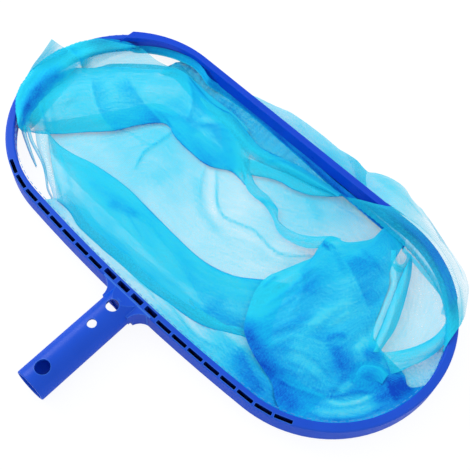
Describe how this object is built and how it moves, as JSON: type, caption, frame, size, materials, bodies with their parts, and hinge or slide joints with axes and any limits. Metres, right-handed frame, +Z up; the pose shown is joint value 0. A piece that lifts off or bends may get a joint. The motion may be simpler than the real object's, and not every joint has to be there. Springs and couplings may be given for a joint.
{
  "type": "leaf skimmer net",
  "caption": "Deep-bag leaf skimmer for a pool: oval plastic frame with a tubular pole socket, raised front lip and a fine mesh bag that lies collapsed in the mouth.",
  "frame": {"origin": "on the floor, under the middle of the oval frame", "axes": "+X along the frame's long axis, +Y from the handle towards the front lip, +Z up out of the net's mouth"},
  "size_m": [0.4339, 0.337, 0.028],
  "materials": {
    "frame_plastic": "moulded, smooth",
    "lip_plastic": "moulded, smooth",
    "hem_mesh": "fine knitted mesh, doubled",
    "bag_mesh": "fine knitted mesh, sheer",
    "thread": "polyester thread"
  },
  "bodies": {
    "root": {"rim": "frame_plastic", "handle": "frame_plastic", "front_lip": "lip_plastic", "net_hem": "hem_mesh", "net_bag": "bag_mesh", "hem_stitches": "thread"}
  },
  "joints": []
}
